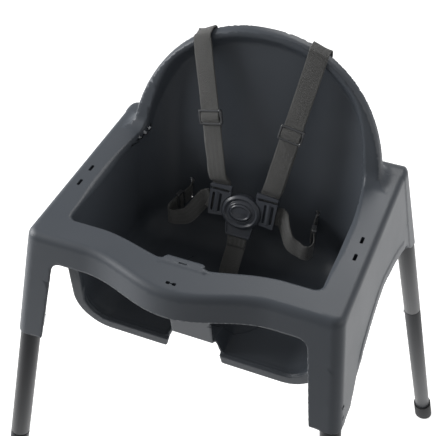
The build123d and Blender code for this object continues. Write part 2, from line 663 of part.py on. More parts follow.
def crotch_strap():
    """Strap from the pocket at the buckle's foot down through the slot in the seat pan."""
    plane = buckle_plane()
    across = (1, 0, 0)
    down_face = plane.y_dir * -1
    inside = plane.from_local_coords(Vector(0, -26, -0.8))
    mouth = plane.from_local_coords(Vector(0, -38, -0.8))
    slot = Vector(0, CROTCH_SLOT_Y, PAN_Z)
    stations = [(inside, down_face, across), (mouth, down_face, across), (slot + Vector(0, 0, 7), (0, -0.3, -1), across),
                (slot + Vector(0, 0, -9), (0, 0, -1), across)]
    return webbing(stations, WEB + 1)


def anchor_bar(width):
    """Flat bar with rounded ends, too long to pull through its slot."""
    bar = extrude(RectangleRounded(width, 9, 4), amount=3)
    return bar


def waist_anchor(side):
    """Bar behind the keyhole that the waist strap is sewn round."""
    bar = Rot(90, 0, 0) * Rot(0, 0, 90) * anchor_bar(36)
    return Pos(side * KEYHOLE[0], WAIST_START_Y + 15.6 + 3, WAIST_Z) * bar


def crotch_anchor():
    """Bar under the pan that the crotch strap is sewn round."""
    return Pos(0, CROTCH_SLOT_Y, PAN_Z - 12.5) * anchor_bar(40)


def shoulder_anchor(side):
    """Plate that clamps the end of a shoulder strap to the back of the shell."""
    out = Vector(0, 1, -BACK_SLOPE).normalized()
    middle = behind_back(rim_strap_x(side), ANCHOR_DROP - 9) + out * (WEB_T / 2 + 1.9)
    frame = Plane(origin=middle, x_dir=(1, 0, 0), z_dir=out)
    return frame.location * extrude(RectangleRounded(40, 22, 4), amount=1.5, both=True)


# ---- output ---------------------------------------------------------------------------------
SIDES = {"left": -1, "right": 1}
LEGS = {"front": (FRONT_LEG, FRONT_SPLAY), "rear": (REAR_LEG, REAR_SPLAY)}


def main():
    nodes = {"seat_shell": seat_shell()}
    for side_name, side in SIDES.items():
        for row, (leg, splay) in LEGS.items():
            corner = f"{row}_{side_name}"
            nodes[f"upper_leg_{corner}"] = upper_leg(side, leg, splay)
            nodes[f"lower_leg_{corner}"] = lower_leg(side, leg, splay)
            nodes[f"foot_cap_{corner}"] = foot_cap(side, leg, splay)
            nodes[f"snap_button_{corner}"] = snap_button(side, leg, splay)
            nodes[f"snap_spring_{corner}"] = snap_spring(side, leg, splay)
        nodes[f"buckle_tongue_{side_name}"] = tongue(side)
        nodes[f"shoulder_strap_{side_name}"] = shoulder_strap(side)
        nodes[f"shoulder_adjuster_{side_name}"] = shoulder_adjuster(side)
        nodes[f"shoulder_anchor_{side_name}"] = shoulder_anchor(side)
        nodes[f"waist_strap_{side_name}"] = waist_strap(side)
        nodes[f"waist_adjuster_{side_name}"] = waist_adjuster(side)
        nodes[f"waist_anchor_{side_name}"] = waist_anchor(side)
    nodes["socket_screws"] = socket_screws()
    nodes["buckle_front"] = buckle_front()
    nodes["buckle_back"] = buckle_back()
    nodes["buckle_button"] = buckle_button()
    nodes["buckle_spring"] = buckle_spring()
    nodes["buckle_screws"] = buckle_screws()
    nodes["crotch_strap"] = crotch_strap()
    nodes["crotch_anchor"] = crotch_anchor()
    os.makedirs("parts", exist_ok=True)
    for name, shape in nodes.items():
        export_step(shape, f"parts/{name}.step")


if __name__ == "__main__":
    main()
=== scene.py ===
"""Looks of the moulded high chair: shell, legs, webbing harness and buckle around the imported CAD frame.

Units are metres in the frame of the CAD; the fields that shape the moulded parts work in millimetres.
"""

import math

import bmesh
import bpy
import numpy as np
import openvdb
from mathutils import Matrix, Vector


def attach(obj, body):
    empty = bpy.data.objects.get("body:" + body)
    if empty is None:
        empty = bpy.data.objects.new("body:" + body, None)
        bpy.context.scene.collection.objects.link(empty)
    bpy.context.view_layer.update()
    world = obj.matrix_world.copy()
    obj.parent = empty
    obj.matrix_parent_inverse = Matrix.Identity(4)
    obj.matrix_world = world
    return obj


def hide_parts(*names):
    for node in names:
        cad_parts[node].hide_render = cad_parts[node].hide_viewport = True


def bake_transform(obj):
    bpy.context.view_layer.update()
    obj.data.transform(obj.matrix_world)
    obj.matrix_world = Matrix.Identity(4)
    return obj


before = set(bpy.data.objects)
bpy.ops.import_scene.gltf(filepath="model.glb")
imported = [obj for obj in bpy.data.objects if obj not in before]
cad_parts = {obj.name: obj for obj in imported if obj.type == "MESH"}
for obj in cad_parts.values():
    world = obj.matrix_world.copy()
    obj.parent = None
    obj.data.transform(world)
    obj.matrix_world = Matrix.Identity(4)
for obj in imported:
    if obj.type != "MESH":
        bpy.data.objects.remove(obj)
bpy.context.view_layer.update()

MM = 0.001

# The stage, in metres and watts.
WORLD = 0.22                         # strength of the white surroundings
FLOOR_HALF = 9
FLOOR_GLOW = 0.75                    # emission of the floor beyond the chair
GLOW_WAY = (-0.3665, 0.93, 0)        # level direction in which that emission grows
GLOW_FROM, GLOW_TO = -0.7, 0.0       # where along it the emission starts and is full
LIGHTS = (                           # name, place, aim, size, power
    ("key", (-1.8, -0.3, 1.4), (0, -0.05, 0.65), (1.5, 1.2), 44),
    ("fill", (1.8, 0.0, 1.3), (0, 0, 0.6), (1.5, 1.2), 6),
    ("rear", (0.2, 1.6, 2.2), (0, 0.05, 0.7), (1.4, 0.8), 18),
)
CAMERA_AT = (0.2983, -0.8097, 1.4019)
CAMERA_TURN = (21.52, 41.51, -0.61)  # azimuth, elevation and roll in degrees
LENS, SENSOR = 74.31, 36             # in millimetres

# Plastics and rubber: dark and light colour, roughness, grain scale, grain depth, specular and coat.
MOULDED = {
    "shell_plastic": ((0.066, 0.076, 0.09), (0.078, 0.088, 0.103), 0.44, 700, 0.0002, 0.5, 0.0),
    "leg_plastic": ((0.026, 0.028, 0.032), (0.033, 0.035, 0.039), 0.4, 500, 0.00015, 0.4, 0.0),
    "foot_rubber": ((0.02, 0.02, 0.022), (0.03, 0.03, 0.032), 0.7, 400, 0.0003, 0.35, 0.0),
    "buckle_plastic": ((0.06, 0.066, 0.08), (0.072, 0.079, 0.094), 0.3, 900, 0.0001, 0.6, 0.0),
    "slide_plastic": ((0.07, 0.073, 0.078), (0.085, 0.088, 0.093), 0.22, 900, 0.00005, 0.9, 0.6),
}
# Webbing colours: a shaded and a lit copy of one yarn colour, blended as painted shade and painted highlight
# on the ribs.
WEB_SHADED, WEB_LIT = (0.026, 0.026, 0.025, 1), (0.16, 0.16, 0.153, 1)
CHEVRON = 0.0031                     # width of one slanting row of the webbing's ribs
RIB = 0.0021                         # from rib to rib
YARN = 0.0008                        # from yarn to yarn


# ---- stage, lights and camera --------------------------------------------------------------------------
def link(obj):
    """Put an object into the scene."""
    bpy.context.scene.collection.objects.link(obj)
    return obj


def area_light(name, place, aim, size, power):
    """Soft rectangular lamp that looks at a point."""
    data = bpy.data.lights.new(name, "AREA")
    data.shape = "RECTANGLE"
    data.size, data.size_y = size
    data.energy = power
    lamp = link(bpy.data.objects.new(name, data))
    lamp.location = place
    lamp.rotation_euler = (Vector(aim) - Vector(place)).to_track_quat("-Z", "Y").to_euler()


def floor_material():
    """White paint that glows more and more towards the far side, where it meets the background."""
    white = plain("floor_paint", (0.8, 0.8, 0.8), 0.9)
    tree = white.node_tree
    shader = tree.nodes["Principled BSDF"]
    shader.inputs["Specular IOR Level"].default_value = 0
    shader.inputs["Emission Color"].default_value = (1, 1, 1, 1)
    place = tree.nodes.new("ShaderNodeTexCoord")
    along = tree.nodes.new("ShaderNodeVectorMath")
    along.operation = "DOT_PRODUCT"
    along.inputs[1].default_value = GLOW_WAY
    glow = tree.nodes.new("ShaderNodeMapRange")
    glow.inputs["From Min"].default_value = GLOW_FROM
    glow.inputs["From Max"].default_value = GLOW_TO
    glow.inputs["To Max"].default_value = FLOOR_GLOW
    tree.links.new(place.outputs["Object"], along.inputs[0])
    tree.links.new(along.outputs["Value"], glow.inputs["Value"])
    tree.links.new(glow.outputs["Result"], shader.inputs["Emission Strength"])
    return white


def stage():
    """Floor, surroundings and lights."""
    far = FLOOR_HALF
    data = bpy.data.meshes.new("floor")
    data.from_pydata([(-far, -far, 0), (far, -far, 0), (far, far, 0), (-far, far, 0)], [], [(0, 1, 2, 3)])
    data.materials.append(floor_material())
    floor = link(bpy.data.objects.new("floor", data))
    world = bpy.data.worlds.new("studio")
    world.use_nodes = True
    background = world.node_tree.nodes["Background"]
    background.inputs["Color"].default_value = (1, 1, 1, 1)
    background.inputs["Strength"].default_value = WORLD
    bpy.context.scene.world = world
    bpy.context.scene.view_settings.view_transform = "Standard"
    for light in LIGHTS:
        area_light(*light)


def camera():
    """The photograph's camera."""
    azimuth, elevation, roll = (math.radians(a) for a in CAMERA_TURN)
    back = Vector((math.sin(azimuth) * math.cos(elevation), -math.cos(azimuth) * math.cos(elevation),
                   math.sin(elevation)))
    right = (-back).cross(Vector((0, 0, 1))).normalized()
    down = (-back).cross(right)
    turned = right * math.cos(roll) + down * math.sin(roll)
    down = down * math.cos(roll) - right * math.sin(roll)
    data = bpy.data.cameras.new("camera")
    data.lens = LENS
    data.sensor_width = SENSOR
    lens = link(bpy.data.objects.new("camera", data))
    axes = Matrix((turned, -down, back)).transposed().to_4x4()
    axes.translation = CAMERA_AT
    lens.matrix_world = axes
    bpy.context.scene.camera = lens


# ---- materials -------------------------------------------------------------------------------------
def plain(name, colour, roughness):
    """Material of one colour and roughness."""
    made = bpy.data.materials.new(name)
    made.use_nodes = True
    shader = made.node_tree.nodes["Principled BSDF"]
    shader.inputs["Base Color"].default_value = (*colour, 1)
    shader.inputs["Roughness"].default_value = roughness
    return made


def noise(tree, place, scale, detail=2):
    """Noise in the object's own coordinates."""
    cloud = tree.nodes.new("ShaderNodeTexNoise")
    cloud.inputs["Scale"].default_value = scale
    cloud.inputs["Detail"].default_value = detail
    tree.links.new(place.outputs["Object"], cloud.inputs["Vector"])
    return cloud.outputs["Fac"]


def vary_roughness(tree, shader, factor, low, high):
    """Let a factor move the roughness from low to high."""
    span = tree.nodes.new("ShaderNodeMapRange")
    span.inputs["To Min"].default_value = low
    span.inputs["To Max"].default_value = high
    tree.links.new(factor, span.inputs["Value"])
    tree.links.new(span.outputs["Result"], shader.inputs["Roughness"])


def blend_colours(tree, shader, factor, dark, light):
    """Let a factor move the colour from dark to light."""
    mix = tree.nodes.new("ShaderNodeMix")
    mix.data_type = "RGBA"
    mix.inputs["A"].default_value = dark
    mix.inputs["B"].default_value = light
    tree.links.new(factor, mix.inputs["Factor"])
    tree.links.new(mix.outputs["Result"], shader.inputs["Base Color"])


def raise_grain(tree, shader, height, strength, depth):
    """Let a height roughen the surface."""
    bump = tree.nodes.new("ShaderNodeBump")
    bump.inputs["Strength"].default_value = strength
    bump.inputs["Distance"].default_value = depth
    tree.links.new(height, bump.inputs["Height"])
    tree.links.new(bump.outputs["Normal"], shader.inputs["Normal"])


def moulded(name, dark, light, roughness, grain, depth, specular, coat):
    """Injection-moulded plastic: a fine spark-eroded grain, faint flow mottling and a soft sheen."""
    made = plain(name, dark, roughness)
    tree = made.node_tree
    shader = tree.nodes["Principled BSDF"]
    place = tree.nodes.new("ShaderNodeTexCoord")
    cloud = noise(tree, place, 14, 3)
    blend_colours(tree, shader, cloud, (*dark, 1), (*light, 1))
    raise_grain(tree, shader, noise(tree, place, grain), 0.35, depth)
    vary_roughness(tree, shader, cloud, roughness - 0.05, roughness + 0.06)
    shader.inputs["Specular IOR Level"].default_value = specular
    shader.inputs["Coat Weight"].default_value = coat
    return made


def metal(name, colour, roughness):
    """Bright zinc-plated steel with fine brushing."""
    made = plain(name, colour, roughness)
    tree = made.node_tree
    shader = tree.nodes["Principled BSDF"]
    shader.inputs["Metallic"].default_value = 1
    place = tree.nodes.new("ShaderNodeTexCoord")
    vary_roughness(tree, shader, noise(tree, place, 900), roughness - 0.07, roughness + 0.1)
    return made


def webbing_material():
    """Herringbone polypropylene webbing: chevron ribs of twisted yarn between two tight selvages, with painted
    shade in the ribs' grooves and painted highlight on their crowns.
    """
    made = plain("webbing_herringbone", WEB_SHADED[:3], 0.62)
    tree = made.node_tree
    shader = tree.nodes["Principled BSDF"]
    uv = tree.nodes.new("ShaderNodeUVMap")
    uv.uv_map = "cloth"
    split = tree.nodes.new("ShaderNodeSeparateXYZ")
    tree.links.new(uv.outputs["UV"], split.inputs["Vector"])
    across, along = split.outputs["X"], split.outputs["Y"]

    def maths(kind, *values):
        node = tree.nodes.new("ShaderNodeMath")
        node.operation = kind
        for socket, value in zip(node.inputs, values):
            if isinstance(value, (int, float)):
                socket.default_value = value
            else:
                tree.links.new(value, socket)
        return node.outputs["Value"]

    def waves(value, spacing):
        return maths("SINE", maths("MULTIPLY", value, 2 * math.pi / spacing))

    slant = maths("MULTIPLY_ADD", maths("PINGPONG", across, CHEVRON), 1.15, along)
    ribs = maths("MULTIPLY_ADD", waves(slant, RIB), 0.5, 0.5)
    crown = maths("ABSOLUTE", waves(across, CHEVRON))
    yarn = waves(maths("MULTIPLY_ADD", across, 2.0, along), YARN)
    height = maths("ADD", ribs, maths("MULTIPLY", crown, 0.25))
    height = maths("MULTIPLY_ADD", yarn, 0.08, height)
    raise_grain(tree, shader, height, 1.0, 0.0008)
    blotch = noise(tree, tree.nodes.new("ShaderNodeTexCoord"), 260)
    # painted light: rib crowns coloured lighter and grooves darker, mixed with random blotches of tone
    rib_shading_and_blotch = maths("MULTIPLY_ADD", height, 0.62, maths("MULTIPLY", blotch, 0.35))
    blend_colours(tree, shader, rib_shading_and_blotch, WEB_SHADED, WEB_LIT)
    shader.inputs["Sheen Weight"].default_value = 0.35
    shader.inputs["Sheen Roughness"].default_value = 0.45
    return made


# ---- seat shell: a distance field in millimetres, meshed and pulled onto its own surface ----------------
# x runs to the right, y to the rear and z up. A drop is measured down from the arms.
ARM = 700.0                          # the arms' flat tops
WALL = 3.5
PAN = 532.0                          # seat pan
RAIL_DROP = 33.0                     # depth of the front rail
ARM_HALF, ARM_SPLAY = 190.5, 0.13    # half width across the arms, and its growth for each unit down
FRONT_FACE, FRONT_SPLAY = 179, 0.19  # the rail's front, apart from its bow
REAR_FACE, REAR_SPLAY = 124, 0.27
BLOCK_LONG = 301                     # length over which the sides open out towards the rear
FLARE, FLARE_GROWTH = 2.5, 0.02      # by how much they do so at the arms, and more for each unit down
SIDE_R, TOP_R, REAR_R = 14.0, 8.0, 24.0       # roundings of the front corners, the top and the rear corners
BOW, BOW_HALF = 28, 115.0            # the rail's bow and its half width
LEDGE = 1.2                          # raised band along the side arches and at the rear
LEDGE_BAND, LEDGE_EASE = 15, 3.5     # the band's width above an arch and the width of its step
LEDGE_ENDS = (-138, 20, 95, 12)      # where it starts and stops, each with the length of its slope
LEDGE_REAR = 86                      # where it starts again, round the rear corners
BACK_AT, BACK_LEAN = 89, 0.143       # front of the backrest at the arms, and its lean
RIM_AT, RIM_LEAN, RIM_WIDTH = 61, 0.25, 13
RIM_DROP = 60                        # how far the rim runs below the arms
TUB_HALF, TUB_TAPER = 154, 0.024
TUB_FRONT, TUB_FRONT_TAPER = 138, 0.054
RAIL_DIP = 21                        # how far the tub follows the rail's bow
ROLL_HIGH, ROLL_WIDE = 25, 24        # drop and width over which the backrest rolls out to the arms
BACK_HALF, BACK_HIGH = 170.5, 186.0  # half axes of the backrest's outline
BACK_CENTRE = ARM - 32.2
BACK_POWER = 2.13
CORNER_R, PAN_R = 45.0, 34.0         # radii inside the tub
FRONT_AXIS = (175.6, -163.7, 0.13, -0.19)     # leg axis at the arms and its run for each unit down
REAR_AXIS = (178.6, 108.4, 0.15, 0.27)
FRONT_SOCKET = 149.0                 # drop of the front sockets' level ends
REAR_SOCKET = 165.0                  # length of the rear ones, along the leg
SLEEVE, BORE = 15.3, 12.75           # outer and inner radius of a socket
BORE_TOP = 30                        # where the bore starts, along the leg
RISE = 24.0                          # raised middle of the pan's front edge
RISE_HALF, RISE_EASE = 41, 14        # its half width and the width of its slope
RISE_BACK, RISE_RUN = -60, 72        # where it starts, and the length over which it rises
POST_HALF = 28                       # half width of the crotch post
TAB_AT, TAB_HALF = -157, 25          # tab on the post
# lower edge of each side: place along the chair and drop
SIDE_ARCH = ((-163, 149), (-139, 127), (-110, 109), (-82, 100), (-40, 90), (-15, 89), (12, 94), (39, 100),
             (60, 106), (100, 122), (125, 146), (170, 158))
TRAY_SLOTS = (-44.6, -74.8)          # along each arm
TRAY_SLOT_X = 174.7
RAIL_SLOT = -191                     # the tray's slot in the rail
STRAP_HOLE = 90.7                    # the keyholes for the waist straps, from the middle
PAN_SLOT = -22                       # the crotch strap's slot
FOLD = 2.5                           # half thickness of the flange round the leg openings
FLANGE_WIDE = 15
SKIRT_EDGE, SKIRT_DRAFT = 150.8, 0.147        # inner limit of the legs' columns
EDGE_R = 5.0                         # rounding of the tub's edge at the rail
ARM_EDGE_R = 9.0                     # and at the arms
WALL_TOP = 8                         # drop at which the tub's wall starts beside the arms
WALL_BEHIND_RIM = 9                  # how far behind the rim's front it starts in the backrest
BACK_MIDDLE = 78                     # place of the cuts through the backrest
KEYHOLE = 600.6                      # height of the middle of a keyhole's slot
RING_R, RING_AT = 78, -27            # thin ring on the pan: its radius and centre

# Meshing: points of a slab, half width of the kept band in steps, pulls and the distance of a probe.
SLAB, BAND, PULLS, PROBE = 12, 3, 3, 0.15
SHELL_STEP, SHELL_ADAPTIVITY = 2.0, 0.05
FINE_STEP, FINE_ADAPTIVITY = 0.5, 0.02        # for the harness's plastic parts

# Webbing.
STRAP_WIDE, STRAP_THICK, RETURN_THICK = 25, 1.5, 1.3
CROTCH_WIDE = 26
STRAP_APART, STRAP_SHIFT = 74, -6.5  # where the shoulder straps cross the rim, either side of a shifted middle
WAIST = 599.6                        # height of the waist straps
RIBBON_COLUMNS = 12


def meet(a, b, r):
    """Intersection of two distance fields with an edge radius."""
    return np.minimum(-r, np.maximum(a, b)) + np.hypot(np.maximum(a + r, 0), np.maximum(b + r, 0))


def join(a, b, r):
    """Union of two distance fields with a fillet radius."""
    return np.maximum(r, np.minimum(a, b)) - np.hypot(np.maximum(r - a, 0), np.maximum(r - b, 0))


def ease(value):
    """Smooth step from 0 to 1."""
    t = np.clip(value, 0, 1)
    return t * t * (3 - 2 * t)


def ease_slope(value):
    """Slope of ease()."""
    t = np.clip(value, 0, 1)
    return 6 * t * (1 - t)


def bell(x):
    """The rail's bow, 1 in the middle and 0 where the bow ends."""
    return 0.5 + 0.5 * np.cos(np.pi * np.minimum(np.abs(x) / BOW_HALF, 1))


def arch(x, z, inset):
    """Distance to the backrest's outline, a superellipse that runs straight down below its centre."""
    a = BACK_HALF - inset
    b = BACK_HIGH - inset
    p = BACK_POWER
    u = np.maximum(x, 1e-3) / a
    v = np.maximum(z - BACK_CENTRE, 1e-3) / b
    g = u ** p + v ** p
    value = g ** (1 / p)
    slope = g ** (1 / p - 1) * np.hypot(u ** (p - 1) / a, v ** (p - 1) / b)
    return (value - 1) / np.maximum(slope, 0.6 / a)


def arch_drop(y):
    """Drop of a side's lower edge."""
    ys, drops = zip(*SIDE_ARCH)
    return np.interp(y, ys, drops).astype(np.float32)


def back_face(h):
    """Front of the backrest at a height over the arms."""
    return BACK_AT + BACK_LEAN * h


def rim_face(h):
    """Front of the backrest's rim at a height over the arms."""
    return RIM_AT + RIM_LEAN * h


# Divisors such as 1.01 and 1.036 are the lengths of the gradients of sloping faces.
def side_block(x, y, z):
    """Splayed block that holds the arms, the rail and the legs' columns."""
    d = ARM - z
    half = ARM_HALF + ARM_SPLAY * d + (y + FRONT_FACE) / BLOCK_LONG * (FLARE + FLARE_GROWTH * d)
    start, start_ease, stop, stop_ease = LEDGE_ENDS
    step = LEDGE * ease((d - arch_drop(y) + LEDGE_BAND) / LEDGE_EASE)
    half = half + step * ease((y - start) / start_ease) * ease((stop - y) / stop_ease)
    half = half + LEDGE * ease((y - LEDGE_REAR - 0.2 * d) / 5)
    side = (x - half) / 1.01
    steep = 0.38 * np.sin(np.pi * np.minimum(x / BOW_HALF, 1))
    front = (-FRONT_FACE - FRONT_SPLAY * d - BOW * bell(x) - y) / np.sqrt(1.036 + steep ** 2)
    rear = (y - REAR_FACE - REAR_SPLAY * d) / 1.036
    return meet(meet(meet(side, front, SIDE_R), z - ARM, TOP_R), rear, REAR_R)


def backrest(x, y, z):
    """Dished backrest with its rim, down to a little below the arms."""
    h = z - ARM
    rim = (rim_face(h) - y) / 1.03
    flange = meet(arch(x, z, 0.0), rim, 6.0)
    behind = (y - (back_face(h) + WALL)) / 1.01
    lip = np.maximum(flange, (y - (rim_face(h) + RIM_WIDTH)) / 1.03)
    back = join(meet(np.maximum(arch(x, z, 2.5), rim), behind, 10.0), lip, 3.0)
    return np.maximum(back, ARM - RIM_DROP - z)


def pan_height(x, y):
    """Height of the seat pan, raised in the middle of its front edge, and the length of its gradient."""
    u = (RISE_HALF - x) / RISE_EASE
    v = (RISE_BACK - y) / RISE_RUN
    slope = RISE * np.hypot(ease(v) * ease_slope(u) / RISE_EASE, ease(u) * ease_slope(v) / RISE_RUN)
    return PAN + RISE * ease(u) * ease(v), np.hypot(1, slope)


def tub(x, y, z):
    """The hollow that the child sits in, and its open front."""
    h = z - ARM
    side = x - (TUB_HALF + TUB_TAPER * h)
    roll = np.maximum(28 - 0.107 * h, 0) + 6
    share = np.clip(-arch(x, z, 0.0) / ROLL_WIDE, 0, 1)
    rolled = (h + ROLL_HIGH) / ROLL_HIGH
    bulge = 1 - ease(share)
    face = back_face(h) - roll * ease(rolled) * bulge
    lean = roll * bulge * ease_slope(rolled) / ROLL_HIGH
    turn = ease(rolled) * roll * share * (1 - share) / 4
    back = (y - face) / np.hypot(np.hypot(1.01, lean), turn)
    floor, steep = pan_height(x, y)
    hollow = meet(meet(side, back, CORNER_R), (floor - z) / steep, PAN_R)
    edge = -TUB_FRONT + TUB_FRONT_TAPER * np.maximum(-h, 0) - RAIL_DIP * bell(x) * (h > -60) - y
    return hollow, edge


def leg_frame(x, y, z, axis):
    """Coordinates along a leg, across it towards the middle, and along the chair."""
    px, py, sx, sy = axis
    run = np.array([sx, sy, -1.0])
    run /= np.linalg.norm(run)
    inward = np.array([-1.0, 0, 0]) - run * (-run[0])
    inward /= np.linalg.norm(inward)
    third = np.cross(run, inward)
    dx, dy, dz = x - px, y - py, z - ARM
    return tuple(dx * way[0] + dy * way[1] + dz * way[2] for way in (run, inward, third))


def sleeve(x, y, z, axis, outside):
    """Round socket for a leg, trimmed to the shell's outer faces."""
    along, u, v = leg_frame(x, y, z, axis)
    tube = meet(np.hypot(u, v) - SLEEVE, outside, 1.2)
    end = ARM - FRONT_SOCKET - z if axis is FRONT_AXIS else along - REAR_SOCKET
    return meet(tube, end, 1.6)


def bore(x, y, z, axis):
    """The hole of a leg's socket."""
    along, u, v = leg_frame(x, y, z, axis)
    return np.maximum(np.hypot(u, v) - BORE, BORE_TOP - along)


def block_at(x, y, z, centre, half):
    """A plain box."""
    return np.maximum(np.maximum(np.abs(x - centre[0]) - half[0], np.abs(y - centre[1]) - half[1]),
                      np.abs(z - centre[2]) - half[2])


def leg_flange(x, y, z, open_front):
    """Flange round the leg openings, open in the middle below the raised edge of the pan."""
    mouth = meet(x - (150 + TUB_TAPER * (z - PAN)), PAN - z, PAN_R)
    plate = np.abs(y - (open_front - FOLD)) - FOLD
    ring = meet(meet(mouth - FLANGE_WIDE, -mouth, 2.0), plate, 1.6)
    ring = np.maximum(ring, RAIL_DROP - (ARM - z) - 6)
    return meet(ring, 37.5 - 0.2 * (z - PAN + 17) - x, 3.0)


def crotch_post(x, y, z):
    """Plate from the rail down to the raised edge of the pan."""
    d = ARM - z
    face = -158 + 29 * np.clip(d / (ARM - PAN), 0, 1)
    post = meet(x - POST_HALF, np.abs(y - face + WALL / 2) - WALL / 2, 1.5)
    return np.maximum(post, np.maximum(2 - d, d - (ARM - PAN - RISE + WALL)))


def post_tab(x, y, z):
    """Rounded tab on top of the crotch post."""
    outline = meet(x - TAB_HALF, np.abs(y - TAB_AT) - 7, 4.5)
    return meet(outline, np.abs(z - ARM + WALL / 2) - WALL / 2, 1.0)


def shell_field(x, y, z):
    """Signed distance to the moulded shell, negative in the plastic."""
    x = np.abs(x)
    d = ARM - z
    block = side_block(x, y, z)
    outside = join(block, backrest(x, y, z), 16.0)
    hollow, edge = tub(x, y, z)
    inside = meet(hollow, edge, ARM_EDGE_R)
    # a skin under the rounded top and down the sides, cut off along the side arches
    round_more = (ARM_EDGE_R - EDGE_R) * ease((y + 120) / 60) * ease((d + 25) / 20)
    solid = meet(outside, -inside, EDGE_R + round_more)
    skin = np.maximum(solid, -np.maximum(solid + WALL, z - ARM + WALL))
    beside_leg = (SKIRT_EDGE + SKIRT_DRAFT * d - x) / 1.01
    keep = join(d - RAIL_DROP, meet(beside_leg, d - arch_drop(y), 1.2), 12.0)
    skirt = meet(skin, keep, 1.2)
    # the tub's wall, kept out of the rounding at the arms' inner edges
    open_front = -TUB_FRONT + TUB_FRONT_TAPER * d
    wall = np.maximum(np.maximum(hollow - WALL, -hollow), outside)
    wall = np.maximum(wall, np.minimum(WALL_TOP - d, (rim_face(-d) - y) / 1.03 + WALL_BEHIND_RIM))
    wall = np.maximum(wall, open_front - y)
    body = np.minimum(skirt, wall)
    body = join(body, leg_flange(x, y, z, open_front), 3.0)
    body = np.maximum(body, outside)
    for axis in (FRONT_AXIS, REAR_AXIS):
        body = join(body, sleeve(x, y, z, axis, block), 5.0)
    body = np.maximum(body, outside)
    body = meet(body, -inside, 1.5)
    body = join(body, crotch_post(x, y, z), 5.0)
    body = join(body, post_tab(x, y, z), 2.5)
    # floors of the tray's pockets
    for y_slot in TRAY_SLOTS:
        body = np.minimum(body, block_at(x, y, z, (TRAY_SLOT_X, y_slot, ARM - 7), (4.0, 7.7, 5)))
    body = np.minimum(body, block_at(x, y, z, (0, RAIL_SLOT, ARM - 7), (8.0, 4.2, 5)))
    for axis in (FRONT_AXIS, REAR_AXIS):
        body = np.maximum(body, -bore(x, y, z, axis))
    return body


def surface(field, low, high, step, adaptivity, symmetric=True):
    """Mesh of a field, its points pulled onto the surface. A symmetric field is worked out for half of x."""
    n = [int(round((b - a) / step)) + 1 for a, b in zip(low, high)]
    xs, ys, zs = ((a + step * np.arange(count)).astype(np.float32) for a, count in zip(low, n))
    half = n[0] // 2 if symmetric else 0
    values = np.empty(n, np.float32)
    for i in range(half, n[0], SLAB):
        j = min(i + SLAB, n[0])
        values[i:j] = field(xs[i:j, None, None], ys[None, :, None], zs[None, None, :])
    if symmetric:
        values[:half] = values[:half:-1][:half]
    band = BAND * step
    grid = openvdb.FloatGrid(band)
    grid.copyFromArray(np.clip(values, -band, band))
    points, triangles, quads = grid.convertToPolygons(isovalue=0.0, adaptivity=adaptivity)
    points = points * step + np.array(low)
    for _ in range(PULLS):
        value, normal = slope_of(field, points)
        points = points - normal * np.clip(value, -step, step)[:, None]
    return points, triangles, quads, slope_of(field, points)[1]


def slope_of(field, p):
    """Value and unit gradient of a field at points."""
    value = field(*p.T)
    normal = np.empty_like(p)
    for k in range(3):
        ahead, behind = p.copy(), p.copy()
        ahead[:, k] += PROBE
        behind[:, k] -= PROBE
        normal[:, k] = field(*ahead.T) - field(*behind.T)
    normal /= np.maximum(np.linalg.norm(normal, axis=1), 1e-9)[:, None]
    return value, normal


# ---- mesh helpers --------------------------------------------------------------------------------------
def mesh_object(name, points, faces, material, normals=None, uvs=None):
    """Smooth mesh in metres from points in metres, with optional vertex normals and UVs per vertex."""
    data = bpy.data.meshes.new(name)
    data.from_pydata([tuple(p) for p in points], [], [tuple(int(i) for i in f) for f in faces])
    data.validate()
    data.shade_smooth()
    if uvs is not None:
        layer = data.uv_layers.new(name="cloth")
        index = np.empty(len(data.loops), np.int32)
        data.loops.foreach_get("vertex_index", index)
        layer.data.foreach_set("uv", np.asarray(uvs, np.float32)[index].ravel())
    if normals is not None:
        data.normals_split_custom_set_from_vertices([tuple(n) for n in normals])
    data.materials.append(material)
    return link(bpy.data.objects.new(name, data))


def field_object(name, field, low, high, step, adaptivity, material, place=None, mirror=False,
                 symmetric=True):
    """Object from a distance field given in millimetres, in the frame of the matrix place."""
    points, triangles, quads, normals = surface(field, low, high, step, adaptivity, symmetric)
    faces = [tuple(f) for f in triangles.tolist()] + [tuple(f) for f in quads.tolist()]
    if mirror:
        points = points * (-1, 1, 1)
        normals = normals * (-1, 1, 1)
    outward = 0.0
    for f in faces[:400]:
        a, b, c = (points[i] for i in f[:3])
        outward += float(np.dot(np.cross(b - a, c - a), normals[f[0]]))
    if outward < 0:
        faces = [f[::-1] for f in faces]
    if place is not None:
        turn = np.array(place.to_3x3())
        points = points @ turn.T + np.array(place.translation)
        normals = normals @ turn.T
    return mesh_object(name, points * MM, faces, material, normals)


def curve_through(points, across, step):
    """Smooth line through points, and the direction of the wide side at each of its own points."""
    p = [Vector(q) for q in points]
    a = [Vector(q) for q in across]
    line, wide = [], []
    for i in range(len(p) - 1):
        before, after = p[max(i - 1, 0)], p[min(i + 2, len(p) - 1)]
        count = max(1, int(round((p[i + 1] - p[i]).length / step)))
        for k in range(count + (i == len(p) - 2)):
            t = k / count
            line.append(0.5 * ((2 * p[i]) + (p[i + 1] - before) * t
                               + (2 * before - 5 * p[i] + 4 * p[i + 1] - after) * t ** 2
                               + (3 * p[i] - before - 3 * p[i + 1] + after) * t ** 3))
            wide.append(a[i].lerp(a[i + 1], t))
    return line, wide


def ribbon_section():
    """Section of webbing in shares of its width and thickness, thin at the selvages."""
    top = []
    for k in range(RIBBON_COLUMNS + 1):
        s = -math.cos(math.pi * k / RIBBON_COLUMNS)
        top.append((s, 0.5 if abs(s) < 0.999 else 0.2))
    return top + [(s, -h) for s, h in reversed(top)]


def tube_faces(rows, n):
    """Faces between rows of n points each, closed at both ends."""
    faces = []
    for i in range(rows - 1):
        for k in range(n):
            j = (k + 1) % n
            faces.append((i * n + k, i * n + j, (i + 1) * n + j, (i + 1) * n + k))
    return faces + [tuple(range(n))[::-1], tuple((rows - 1) * n + k for k in range(n))]


